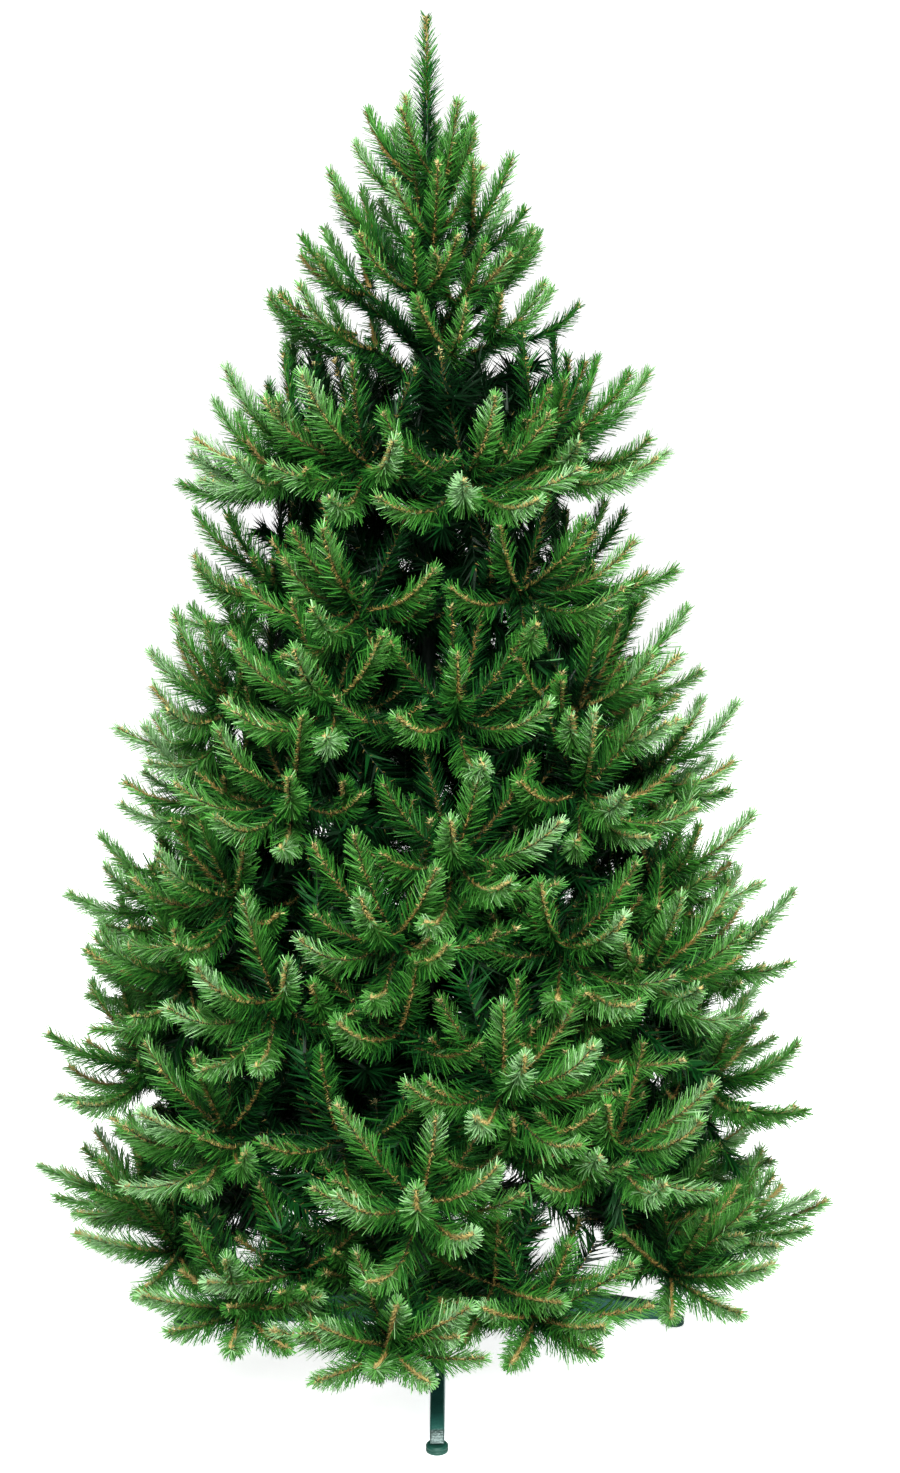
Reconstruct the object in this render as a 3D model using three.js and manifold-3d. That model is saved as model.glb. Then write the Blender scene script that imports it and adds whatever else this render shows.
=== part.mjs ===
// Artificial spruce, 1.8 m tall, on a folding cross stand.
// Millimetres, +Z up. The origin is on the floor, under the middle of the pole. The front is -Y.
//
// A steel pole stands in the socket of a four-legged stand. Wire boughs hook into rings on the pole,
// tier over tier. Each bough forks into three twigs, and each twig ends in a star of needle tufts.
// A foliage mass is one bough's twigs and stars as a closed solid, with a point for every tuft.

import * as THREE from 'three';
import { mergeVertices } from 'three/addons/utils/BufferGeometryUtils.js';
import Module from 'manifold-3d';

const wasm = await Module();
wasm.setup();
const { Manifold, Mesh: SolidMesh } = wasm;

// ---- driving dimensions ----

const TREE_HEIGHT = 1800;
const GAP = 0.3;

const POLE = {
  foot: 12, lowerRadius: 12.5, upperRadius: 10.5, joint: 930,
  stemStart: 1430, stemTaper: 12, stemRadius: 5, topRadius: 3, top: 1690, sides: 8,
};
const RING = { radius: 17, height: 12, hookGap: 2 };
const BOUGH = { rootRadius: 5, endRadius: 3.5, sides: 5 };

const TUFT = { length: 162, rootRadius: 15, radius: 22, shoulder: 0.8, sides: 3 };
const TWIG = { length: 154, rootRadius: 14, endRadius: 22, sides: 3 };
const STAR = {
  mainTufts: 5, sideTufts: 4, innerTufts: 3, innerTilt: 50, openAngle: 66, bendUp: 0.15, droop: 0.3,
  unevenLength: 0.12, unevenAngle: 12, clear: 421,
};

// How the side stars differ from the middle one, and how uneven all three are, as parts of each length.
const TRIO = {
  sideTurn: 8, sideReach: 0.94, unevenSpread: 0.1, unevenReach: 0.03, unevenRaise: 0.3, unevenTilt: 6,
};

// Between its tufts a star falls back to a short radius, as a part of the tuft's length: before the ring
// of tufts, between them, behind them, and at the very back. The angles are measured from its facing.
const HOLLOWS = { ahead: 0.46, aheadAngle: 34, between: 0.5, behind: 0.32, behindAngle: 112, back: 0.22 };

const LEG = {
  reach: 351, start: 18.5, width: 18, wall: 1.6, bottom: 10.3, hubHeight: 58, midReach: 245, midHeight: 44,
  endReach: 322, endHeight: 31.5, tipReach: 356, tipInset: 2, endInset: 0.6,
};
const LEG_SLOT = { reach: 235, length: 9, width: 3.5 };
const FOOT = { radius: 14.3, height: 10, bevel: 2.5, sides: 12 };
const SOCKET = {
  outerRadius: 17.3, innerRadius: 13, bottom: 7, boreBottom: 11.5, plateHalf: 27, plateThickness: 3, top: 150,
  sides: 12,
};
const SCREW = { height: 122, radius: 4, length: 24, knobRadius: 9, knobLength: 11, turn: 40, sides: 10 };

// Each leg runs out from the socket at a quarter turn; the folding pair is bolted a little off centre.
const LEGS = [
  { name: 'front', turn: 0, aside: 13.5 },
  { name: 'right', turn: 90, aside: 3 },
  { name: 'back', turn: 180, aside: 13.5 },
  { name: 'left', turn: 270, aside: 3 },
];

// One row for each ring of boughs, from the floor up. ring: height on the pole. star: height of the middle
// star. reach: its distance from the pole. turns: where the boughs point, in degrees from the front
// towards the right. spread, raise: how far the two side stars stand round and above the middle one.
// inner: the height above the fork of a fourth star, which fills the foot of the crown.
const TIERS = [
  { ring: 222, star: 188, reach: 405, turns: [-6, 84, 174, -96], spread: 30, raise: 14, tilt: 6, inner: 95 },
  { ring: 352, star: 385, reach: 396, turns: [-1, 119, -121], spread: 41, raise: 35, tilt: 10 },
  { ring: 468, star: 520, reach: 375, turns: [13, 133, -107], spread: 43, raise: 75, tilt: 16 },
  { ring: 590, star: 660, reach: 328, turns: [32, 152, -88], spread: 38, raise: 30, tilt: 20 },
  { ring: 712, star: 780, reach: 288, turns: [4, 124, -116], spread: 39, raise: 55, tilt: 22 },
  { ring: 860, star: 930, reach: 250, turns: [50, 170, -70], spread: 41, raise: 20, tilt: 25 },
  { ring: 1005, star: 1075, reach: 196, turns: [-23, 157], spread: 60, raise: 20, tilt: 28 },
  { ring: 1150, star: 1225, reach: 180, turns: [17, 137, -103], spread: 40, raise: 22, tilt: 34 },
];

// The top grows straight from the pole: whorls of tufts below one upright leader.
const WHORLS = [
  { height: 1325, tufts: 7, reach: 212, rise: 125, turn: 10 },
  { height: 1375, tufts: 7, reach: 168, rise: 160, turn: 35 },
  { height: 1440, tufts: 6, reach: 132, rise: 165, turn: 5 },
  { height: 1530, tufts: 5, reach: 60, rise: 150, turn: 30 },
];
const WHORL = { rootRadius: 10.5, radius: 17.6, unevenTurn: 0.25, unevenRise: 0.15, unevenReach: 0.1 };
const LEADER = { bottom: 1560, radius: 17 };
const CORE = { bottom: 1300, radius: 24, topRadius: 14, top: 1600, sides: 8 };

const SEED = 11;

// ---- small helpers ----

const degrees = (angle) => THREE.MathUtils.degToRad(angle);
const point = (turn, reach, height) =>
  new THREE.Vector3(reach * Math.sin(degrees(turn)), -reach * Math.cos(degrees(turn)), height);

/** A repeatable stream of numbers between -1 and 1, so that no two tufts are alike. */
function unevenness(seed) {
  let state = seed;
  return () => {
    state = (Math.imul(state, 1664525) + 1013904223) >>> 0;
    return state / 2147483648 - 1;
  };
}

/** Two directions square to `axis` and to each other, the second as upright as it can be. */
function across(axis) {
  const side = new THREE.Vector3(-axis.y, axis.x, 0);
  if (side.lengthSq() < 1e-6) side.set(1, 0, 0);
  side.normalize();
  return [side, new THREE.Vector3().crossVectors(axis, side).normalize()];
}

/** Points of a ring of `sides` corners with the given radius, square to `axis`. */
function ring(centre, axis, radius, sides) {
  const [side, up] = across(axis);
  return Array.from({ length: sides }, (_, i) => {
    const angle = (2 * Math.PI * (i + 0.5)) / sides;
    return centre.clone()
      .addScaledVector(side, radius * Math.cos(angle))
      .addScaledVector(up, radius * Math.sin(angle));
  });
}

const hull = (points) => Manifold.hull(points.map((p) => p.toArray()));
const join = (solids) => Manifold.union(solids);

/** A straight rod that tapers from one end to the other. */
function rod(start, end, startRadius, endRadius, sides) {
  const axis = end.clone().sub(start).normalize();
  return hull([...ring(start, axis, startRadius, sides), ...ring(end, axis, endRadius, sides)]);
}

/** A tuft as a blunt spike: root, shoulder, and a sharp tip at its furthest point. */
function spike(root, tip, rootRadius, radius) {
  const axis = tip.clone().sub(root).normalize();
  const shoulder = root.clone().lerp(tip, TUFT.shoulder);
  const [base, waist] = [ring(root, axis, rootRadius, TUFT.sides), ring(shoulder, axis, radius, TUFT.sides)];
  return hull([...base, ...waist, tip]);
}

/** A closed three.js geometry as a solid. */
function solidFrom(geometry) {
  const bare = geometry.clone();
  bare.deleteAttribute('normal');
  bare.deleteAttribute('uv');
  const merged = mergeVertices(bare, 1e-4);
  return new Manifold(new SolidMesh({
    numProp: 3,
    vertProperties: new Float32Array(merged.attributes.position.array),
    triVerts: new Uint32Array(merged.index.array),
  }));
}

/** A solid as a three.js geometry with flat faces. */
function geometryFrom(solid) {
  const mesh = solid.getMesh();
  const geometry = new THREE.BufferGeometry();
  geometry.setAttribute('position', new THREE.BufferAttribute(new Float32Array(mesh.vertProperties), 3));
  geometry.setIndex(Array.from(mesh.triVerts));
  return geometry;
}

const biggestPiece = (solid) => solid.decompose().reduce((a, b) => (b.volume() > a.volume() ? b : a));

// ---- materials ----

const paint = (color, roughness, metalness = 0) => (
  new THREE.MeshStandardMaterial({ color, roughness, metalness })
);
const materials = {
  needles: () => paint(0x2f6b2f, 0.6),
  wire: () => paint(0x24452c, 0.6),
  pole: () => paint(0x1e3d2b, 0.5, 0.2),
  stand: () => paint(0x2b5a50, 0.4, 0.3),
  feet: () => paint(0x1b4a3c, 0.5),
  screw: () => paint(0x202422, 0.5),
};

// ---- the crown's plan ----

/** One bough: where it hooks in, where it forks, and the three stars that its twigs end in. */
function planBough(tier, turn, uneven) {
  const hook = point(turn, RING.radius + RING.hookGap, tier.ring);
  const stars = [0, -1, 1].map((place) => {
    const turnOut = turn + place * tier.spread * (1 + TRIO.unevenSpread * uneven());
    const reach = tier.reach * (place === 0 ? 1 : TRIO.sideReach) * (1 + TRIO.unevenReach * uneven());
    const height = tier.star + tier.raise * Math.abs(place) * (1 + TRIO.unevenRaise * uneven());
    const tilt = degrees(tier.tilt + TRIO.unevenTilt * uneven());
    const facing = point(turnOut + place * TRIO.sideTurn, Math.cos(tilt), Math.sin(tilt));
    const tufts = place === 0 ? STAR.mainTufts : STAR.sideTufts;
    return { centre: point(turnOut, reach, height), facing, tufts };
  });
  const fork = stars[0].centre.clone().sub(hook);
  fork.setLength(fork.length() - TWIG.length).add(hook);
  if (tier.inner) {
    const centre = fork.clone().setZ(fork.z + tier.inner);
    const tilt = degrees(STAR.innerTilt);
    stars.push({ centre, facing: point(turn, Math.cos(tilt), Math.sin(tilt)), tufts: STAR.innerTufts });
  }
  return { hook, fork, stars };
}

/** A direction `open` away from `axis`, at the angle `round` about it. */
function lean(axis, open, round) {
  const [side, up] = across(axis);
  return axis.clone().multiplyScalar(Math.cos(open))
    .addScaledVector(side, Math.sin(open) * Math.cos(round))
    .addScaledVector(up, Math.sin(open) * Math.sin(round));
}

/** Where a tuft ends that leaves `centre` in the given direction and bends a little upwards. */
function tuftTip(centre, direction, uneven) {
  const sag = direction.z < 0 ? STAR.droop * direction.z : direction.z;
  const bent = direction.clone().setZ(sag + STAR.bendUp).normalize();
  return centre.clone().addScaledVector(bent, TUFT.length * (1 + STAR.unevenLength * uneven()));
}

/** A star's points, by ring from its facing to its back: the tufts' tips and the hollows between. */
function planStar(star, uneven) {
  const { centre, facing, tufts: count } = star;
  const step = (2 * Math.PI) / count;
  const phase = Math.PI * uneven();
  const hollow = (open, round, part) => (
    centre.clone().addScaledVector(lean(facing, degrees(open), round), part * TUFT.length)
  );
  star.front = tuftTip(centre, facing, uneven);
  star.ahead = [];
  star.around = [];
  star.behind = [];
  for (let i = 0; i < count; i += 1) {
    const round = phase + step * i;
    const tuftRound = round + degrees(STAR.unevenAngle) * uneven();
    const tuftOpen = degrees(STAR.openAngle + STAR.unevenAngle * uneven());
    star.ahead.push(hollow(HOLLOWS.aheadAngle, round + step / 2, HOLLOWS.ahead));
    star.around.push(tuftTip(centre, lean(facing, tuftOpen, tuftRound), uneven));
    star.around.push(hollow(STAR.openAngle, round + step / 2, HOLLOWS.between));
    star.behind.push(hollow(HOLLOWS.behindAngle, round + step / 2, HOLLOWS.behind));
  }
  star.back = hollow(180, 0, HOLLOWS.back);
}

const uneven = unevenness(SEED);
const boughs = TIERS.flatMap((tier, level) => tier.turns.map((turn, i) => (
  { name: `${level + 1}${'abcd'[i]}`, ...planBough(tier, turn, uneven) }
)));
for (const bough of boughs) {
  for (const star of bough.stars) planStar(star, uneven);
}

// ---- pole and top ----

/** The pole: two tube sections, a thin stem for the top, and a ring for each tier of boughs. */
function poleGeometry(grow = 0) {
  const half = RING.height / 2 + grow;
  const profile = [[0, POLE.foot - grow], [POLE.lowerRadius + grow, POLE.foot - grow]];
  const addRing = (radius) => ({ ring: z }) => {
    profile.push([radius + grow, z - half], [RING.radius + grow, z - half]);
    profile.push([RING.radius + grow, z + half], [radius + grow, z + half]);
  };
  TIERS.filter((tier) => tier.ring < POLE.joint).forEach(addRing(POLE.lowerRadius));
  profile.push([POLE.lowerRadius + grow, POLE.joint + grow], [POLE.upperRadius + grow, POLE.joint + grow]);
  TIERS.filter((tier) => tier.ring > POLE.joint).forEach(addRing(POLE.upperRadius));
  profile.push([POLE.upperRadius + grow, POLE.stemStart + grow]);
  profile.push([POLE.stemRadius + grow, POLE.stemStart + POLE.stemTaper + grow]);
  profile.push([POLE.topRadius + grow, POLE.top + grow], [0, POLE.top + grow]);
  const points = profile.map(([r, z]) => new THREE.Vector2(r, z));
  return new THREE.LatheGeometry(points, POLE.sides).rotateX(Math.PI / 2);
}

/** The top: a slim core round the pole, whorls of rising tufts and the leader. */
function topSolid(uneven) {
  const onAxis = (z) => new THREE.Vector3(0, 0, z);
  const solids = [
    rod(onAxis(CORE.bottom), onAxis(CORE.top), CORE.radius, CORE.topRadius, CORE.sides),
    spike(onAxis(LEADER.bottom), onAxis(TREE_HEIGHT), LEADER.radius, LEADER.radius),
  ];
  for (const whorl of WHORLS) {
    for (let i = 0; i < whorl.tufts; i += 1) {
      const turn = whorl.turn + (360 * (i + WHORL.unevenTurn * uneven())) / whorl.tufts;
      const rise = whorl.rise * (1 + WHORL.unevenRise * uneven());
      const reach = whorl.reach * (1 + WHORL.unevenReach * uneven());
      const root = point(turn, CORE.radius / 2, whorl.height);
      solids.push(spike(root, point(turn, reach, whorl.height + rise), WHORL.rootRadius, WHORL.radius));
    }
  }
  return biggestPiece(join(solids).subtract(solidFrom(poleGeometry(GAP))));
}

// ---- boughs and foliage masses ----

const directionOf = (bough) => bough.fork.clone().sub(bough.hook).normalize();

function boughSolid(bough, grow = 0) {
  const end = bough.fork.clone().addScaledVector(directionOf(bough), grow - GAP);
  return rod(bough.hook, end, BOUGH.rootRadius + grow, BOUGH.endRadius + grow, BOUGH.sides);
}

/** The twigs from the fork to the three stars. They start at one flat face, where the bough ends. */
function twigSolid(bough, grow = 0) {
  const axis = directionOf(bough);
  const twigs = join(bough.stars.map(({ centre }) => (
    rod(bough.fork, centre, TWIG.rootRadius + grow, TWIG.endRadius + grow, TWIG.sides)
  )));
  return twigs.trimByPlane(axis.toArray(), axis.dot(bough.fork) - grow);
}

/** A star as a closed solid: a fan of triangles over each ring of its points and the next. */
function starBody({ front, ahead, around, behind, back }) {
  const count = ahead.length;
  const points = [front, ...ahead, ...around, ...behind, back];
  const [aheadAt, aroundAt, behindAt, backAt] = [1, 1 + count, 1 + 3 * count, 1 + 4 * count];
  const corners = [];
  for (let i = 0; i < count; i += 1) {
    const next = (i + 1) % count;
    const tip = aroundAt + 2 * i;
    const valley = tip + 1;
    const nextTip = aroundAt + 2 * next;
    corners.push(0, aheadAt + i, aheadAt + next);
    corners.push(aheadAt + i, valley, nextTip, aheadAt + i, nextTip, aheadAt + next);
    corners.push(aheadAt + i, tip, valley);
    corners.push(behindAt + i, valley, tip, behindAt + i, nextTip, valley);
    corners.push(behindAt + i, behindAt + next, nextTip);
    corners.push(backAt, behindAt + next, behindAt + i);
  }
  return new Manifold(new SolidMesh({
    numProp: 3,
    vertProperties: new Float32Array(points.flatMap((p) => p.toArray())),
    triVerts: new Uint32Array(corners),
  }));
}

/** A star's body, kept on its own side halfway to every star of another bough. */
function starSolid(star, foreign) {
  let solid = starBody(star);
  for (const other of foreign) {
    const away = star.centre.clone().sub(other.centre);
    if (away.length() > STAR.clear) continue;
    const middle = star.centre.clone().add(other.centre).multiplyScalar(0.5);
    away.normalize();
    solid = solid.trimByPlane(away.toArray(), away.dot(middle) + GAP / 2);
  }
  return solid;
}

const top = topSolid(uneven);

function massSolid(bough) {
  const others = boughs.filter((other) => other !== bough);
  const foreign = others.flatMap((other) => other.stars);
  const stars = join(bough.stars.map((star) => starSolid(star, foreign)));
  const inTheWay = join([solidFrom(poleGeometry(GAP)), top,
    ...others.flatMap((other) => [boughSolid(other, GAP), twigSolid(other, GAP)])]);
  return biggestPiece(join([stars.subtract(inTheWay), twigSolid(bough)]));
}

// ---- stand ----

/** The leg's outline from the side: level below, and sloping down above to a steep end. It is drawn in by
 *  `inset` for the hollow, a little more at the tip than above, as the end slopes. */
function legOutline(inset, bottom) {
  const outline = new THREE.Shape();
  outline.moveTo(LEG.start + inset, bottom);
  outline.lineTo(LEG.tipReach - LEG.tipInset * inset, bottom);
  outline.lineTo(LEG.endReach - LEG.endInset * inset, LEG.endHeight - inset);
  outline.lineTo(LEG.midReach, LEG.midHeight - inset);
  outline.lineTo(LEG.start + inset, LEG.hubHeight - inset);
  return outline;
}

/** A slab of the given outline, standing on edge along -Y, with its thickness across X. */
function slab(outline, thickness) {
  const geometry = new THREE.ExtrudeGeometry(outline, { depth: thickness, bevelEnabled: false });
  geometry.translate(0, 0, -thickness / 2);
  return solidFrom(geometry.rotateX(Math.PI / 2).rotateZ(-Math.PI / 2));
}

/** A leg: a pressed channel, open below, with one slot in its top. */
function legSolid() {
  const channel = slab(legOutline(0, LEG.bottom), LEG.width)
    .subtract(slab(legOutline(LEG.wall, LEG.bottom - LEG.wall), LEG.width - 2 * LEG.wall));
  const slot = new THREE.BoxGeometry(LEG_SLOT.width, LEG_SLOT.length, LEG.midHeight);
  return channel.subtract(solidFrom(slot.translate(0, -LEG_SLOT.reach, LEG.midHeight)));
}

function footGeometry() {
  const { radius, height, bevel } = FOOT;
  const profile = [[0, 0], [radius, 0], [radius, height - bevel], [radius - bevel, height], [0, height]];
  const points = profile.map(([r, z]) => new THREE.Vector2(r, z));
  return new THREE.LatheGeometry(points, FOOT.sides).rotateX(Math.PI / 2);
}

/** The socket: a square plate below the legs with a tube for the pole, and a threaded hole for the screw. */
function socketSolid() {
  const { plateHalf, plateThickness, bottom, boreBottom, outerRadius, innerRadius, top: rim, sides } = SOCKET;
  const plate = new THREE.BoxGeometry(2 * plateHalf, 2 * plateHalf, plateThickness);
  const tube = new THREE.CylinderGeometry(outerRadius, outerRadius, rim - bottom, sides).rotateX(Math.PI / 2);
  const bore = new THREE.CylinderGeometry(innerRadius, innerRadius, rim, sides).rotateX(Math.PI / 2);
  return solidFrom(plate.translate(0, 0, bottom + plateThickness / 2))
    .add(solidFrom(tube.translate(0, 0, (rim + bottom) / 2)))
    .subtract(solidFrom(bore.translate(0, 0, boreBottom + rim / 2)))
    .subtract(screwSolid(GAP));
}

/** The screw that clamps the pole: a threaded rod with a round grip. */
function screwSolid(grow = 0) {
  const start = POLE.lowerRadius + GAP - grow;
  const rodEnd = start + SCREW.length;
  const at = (reach) => point(SCREW.turn, reach, SCREW.height);
  return join([
    rod(at(start), at(rodEnd), SCREW.radius + grow, SCREW.radius + grow, SCREW.sides),
    rod(at(rodEnd - 1), at(rodEnd + SCREW.knobLength), SCREW.knobRadius, SCREW.knobRadius, SCREW.sides),
  ]);
}

// ---- assembly ----

const tree = new THREE.Group();
tree.name = 'artificial_spruce';

function add(parent, name, geometry, material) {
  const mesh = new THREE.Mesh(geometry, material);
  mesh.name = name;
  parent.add(mesh);
}

for (const leg of LEGS) {
  const arm = new THREE.Group();
  arm.rotation.z = degrees(leg.turn);
  const shift = new THREE.Group();
  shift.position.x = leg.aside;
  arm.add(shift);
  tree.add(arm);
  add(shift, `leg_${leg.name}`, geometryFrom(legSolid()), materials.stand());
  add(shift, `foot_${leg.name}`, footGeometry().translate(0, -LEG.reach, 0), materials.feet());
}
add(tree, 'socket', geometryFrom(socketSolid()), materials.stand());
add(tree, 'clamp_screw', geometryFrom(screwSolid()), materials.screw());
add(tree, 'trunk', poleGeometry(), materials.pole());
for (const bough of boughs) {
  add(tree, `bough_${bough.name}`, geometryFrom(boughSolid(bough)), materials.wire());
  add(tree, `foliage_${bough.name}`, geometryFrom(massSolid(bough)), materials.needles());
}
add(tree, 'foliage_top', geometryFrom(top), materials.needles());

export default tree;
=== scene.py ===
"""Visual model of an artificial spruce on a four-legged stand, laid out as a Blender add-on.

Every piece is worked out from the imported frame: the pole, the wire boughs and the foliage masses are
read from it, and needles, fibres and wires grow on from them by a seeded rule.
"""
import math

import bpy
import numpy as np
from bpy.props import FloatProperty, FloatVectorProperty, IntProperty, PointerProperty
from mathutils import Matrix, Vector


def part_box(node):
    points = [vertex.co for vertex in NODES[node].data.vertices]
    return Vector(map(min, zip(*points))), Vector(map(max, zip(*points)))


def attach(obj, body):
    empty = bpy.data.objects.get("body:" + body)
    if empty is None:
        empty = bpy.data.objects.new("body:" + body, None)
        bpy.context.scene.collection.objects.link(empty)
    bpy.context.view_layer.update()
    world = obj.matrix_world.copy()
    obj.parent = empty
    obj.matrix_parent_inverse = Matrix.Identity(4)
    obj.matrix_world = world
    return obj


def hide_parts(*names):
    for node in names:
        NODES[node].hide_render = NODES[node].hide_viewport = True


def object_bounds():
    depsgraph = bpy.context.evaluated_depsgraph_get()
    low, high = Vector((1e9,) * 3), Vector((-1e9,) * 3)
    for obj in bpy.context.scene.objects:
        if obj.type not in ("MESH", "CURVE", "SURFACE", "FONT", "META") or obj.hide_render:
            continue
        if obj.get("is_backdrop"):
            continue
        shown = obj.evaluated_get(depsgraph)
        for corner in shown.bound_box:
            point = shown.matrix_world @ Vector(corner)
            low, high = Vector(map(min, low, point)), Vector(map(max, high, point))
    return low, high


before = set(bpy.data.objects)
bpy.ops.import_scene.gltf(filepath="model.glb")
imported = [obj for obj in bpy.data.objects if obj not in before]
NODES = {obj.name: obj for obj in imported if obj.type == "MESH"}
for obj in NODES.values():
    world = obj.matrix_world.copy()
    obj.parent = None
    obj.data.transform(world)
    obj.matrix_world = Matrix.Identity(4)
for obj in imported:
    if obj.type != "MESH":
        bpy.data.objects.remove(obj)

bl_info = {
    "name": "Artificial Spruce",
    "version": (1, 0, 0),
    "blender": (4, 5, 0),
    "location": "View3D > Sidebar > Spruce",
    "description": "Builds the needles, wires, pole and stand of an artificial spruce round its frame",
    "category": "Add Mesh",
}

FRAME_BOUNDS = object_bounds()
BODY = "root"
BOUGH_NODES = sorted(name for name in NODES if name.startswith("bough_"))
MASS_NODES = sorted(name for name in NODES if name.startswith("foliage_"))
TOP_NODE = "foliage_top"
SIDES = ("front", "right", "back", "left")
TREE_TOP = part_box(TOP_NODE)[1][2]
POLE_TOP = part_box("trunk")[1][2]
UP = np.array([0.0, 0.0, 1.0])
FRONT = np.array([0.0, -1.0, 0.0])
LEVEL = np.array([1.0, 1.0, 0.0])   # takes the height out of a point
TINY = 0.0002                       # radius that closes a lathed end


# ---- vectors and meshes ----

def unit(vectors):
    """Vectors divided by their lengths."""
    return vectors / (np.linalg.norm(vectors, axis=-1, keepdims=True) + 1e-12)


def turned(along, toward):
    """Two unit vectors square to `along`: one as near `toward` as it can be, and one beside it."""
    side = unit(np.cross(along, toward))
    return np.cross(side, along), side


def swung(first, second, angle):
    """first cos(angle) + second sin(angle), for many pairs of square directions at once."""
    angle = np.asarray(angle)[..., None]
    return first * np.cos(angle) + second * np.sin(angle)


def arc_point(a, b, c, s):
    """The point B(s) = (1-s)^2 a + 2s(1-s) b + s^2 c of an arc from a to c that bends toward b."""
    return (1 - s) ** 2 * a + 2 * s * (1 - s) * b + s ** 2 * c


def arc_way(a, b, c, s):
    """The arc's unit direction at s, along (1-s)(b-a) + s(c-b)."""
    return unit((1 - s) * (b - a) + s * (c - b))


def circle(radius, angle, x=0.0, y=0.0):
    """Points at the angles on a circle round (x, y), one radius for all or one for each."""
    return np.column_stack([x + radius * np.cos(angle), y + radius * np.sin(angle)])


def corners_of(node):
    """The two corners of a node's box, as arrays."""
    return [np.array(corner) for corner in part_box(node)]


def add_object(name, data):
    """An object linked to the scene."""
    thing = bpy.data.objects.new(name, data)
    bpy.context.scene.collection.objects.link(thing)
    return thing


def grid_faces(rows, columns):
    """Four-cornered faces of a grid of points whose last column is joined to its first."""
    row = np.arange(rows - 1)[:, None] * columns
    column = np.arange(columns)[None, :]
    after = (column + 1) % columns
    corners = (row + column, row + after, row + columns + after, row + columns + column)
    return np.stack([corner.ravel() for corner in corners], axis=1)


def joined(parts):
    """Several (points, faces, ...) parts as one point array and a list of face arrays."""
    points, faces, start = [], [], 0
    for part_points, *part_faces in parts:
        points.append(part_points)
        faces += [array + start for array in part_faces if len(array)]
        start += len(part_points)
    return np.concatenate(points), faces


def add_piece(name, parts, material, replaced=(), smooth=True):
    """One mesh object from parts, set to ride on the tree's body and to stand for the CAD nodes."""
    points, faces = joined(parts)
    mesh = bpy.data.meshes.new(name)
    mesh.vertices.add(len(points))
    mesh.vertices.foreach_set("co", points.astype(np.float32).ravel())
    sizes = np.concatenate([np.full(len(array), array.shape[1]) for array in faces])
    corners = np.concatenate([array.ravel() for array in faces])
    mesh.loops.add(len(corners))
    mesh.loops.foreach_set("vertex_index", corners.astype(np.int32))
    mesh.polygons.add(len(sizes))
    starts = np.concatenate([[0], np.cumsum(sizes)[:-1]])
    mesh.polygons.foreach_set("loop_start", starts.astype(np.int32))
    mesh.polygons.foreach_set("use_smooth", np.full(len(sizes), smooth))
    mesh.update(calc_edges=True)
    mesh.validate()
    mesh.materials.append(material)
    piece = add_object(name, mesh)
    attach(piece, BODY)
    if replaced:
        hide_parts(*replaced)
    return piece


def lathe(profile, steps, centre=(0.0, 0.0)):
    """Surface of revolution: S(u, v) = (r(u) cos v, r(u) sin v, z(u)), closed at both ends by a cap."""
    profile = np.asarray(profile, dtype=float)
    angle = np.linspace(0.0, 2.0 * np.pi, steps, endpoint=False)
    radius, height = profile[:, :1], np.repeat(profile[:, 1:], steps, axis=1)
    x, y = centre
    points = np.stack([x + radius * np.cos(angle), y + radius * np.sin(angle), height], axis=2)
    first = np.arange(steps)[::-1][None, :]
    last = ((len(profile) - 1) * steps + np.arange(steps))[None, :]
    return outward((points.reshape(-1, 3), grid_faces(len(profile), steps), first, last))


def outward(part):
    """A closed part with its faces turned outward: its signed volume, the sum over its triangles of
    a . (b x c) / 6, comes out positive."""
    points, *faces = part
    volume = 0.0
    for array in faces:
        for corner in range(1, array.shape[1] - 1):
            a, b, c = points[array[:, 0]], points[array[:, corner]], points[array[:, corner + 1]]
            volume += (a * np.cross(b, c)).sum()
    return (points, *faces) if volume > 0 else (points, *(array[:, ::-1] for array in faces))


def placed(part, origin, axis):
    """A part moved so that its +Z points along `axis` from `origin`."""
    points, *faces = part
    axis = unit(np.asarray(axis, dtype=float))
    across, side = turned(axis, UP)
    points = points[:, :1] * side + points[:, 1:2] * across + points[:, 2:] * axis + origin
    return outward((points, *faces))


def loft(rings):
    """Closed loops of equally many points, one after the other, joined by faces and capped at both ends."""
    rings = np.asarray(rings)
    count, size, _ = rings.shape
    first = np.arange(size)[::-1][None, :]
    last = ((count - 1) * size + np.arange(size))[None, :]
    return outward((rings.reshape(-1, 3), grid_faces(count, size), first, last))


def block(outline, levels):
    """A flat outline (x, y) stacked at each level (scale, z)."""
    outline = np.asarray(outline, dtype=float)
    return loft([np.column_stack([outline * scale, np.full(len(outline), z)]) for scale, z in levels])


def rounded(corners, radius, steps=4):
    """A profile whose corners are rounded: each becomes a quadratic arc that leaves it by `radius`."""
    corners = np.asarray(corners, dtype=float)
    out = [corners[:1]]
    for before, corner, after in zip(corners[:-2], corners[1:-1], corners[2:]):
        reach = [min(radius, 0.45 * np.linalg.norm(end - corner)) for end in (before, after)]
        start = corner + unit(before - corner) * reach[0]
        end = corner + unit(after - corner) * reach[1]
        s = np.linspace(0.0, 1.0, steps)[:, None]
        out.append(arc_point(start, corner, end, s))
    return np.concatenate(out + [corners[-1:]])


# ---- reading the frame ----

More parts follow.
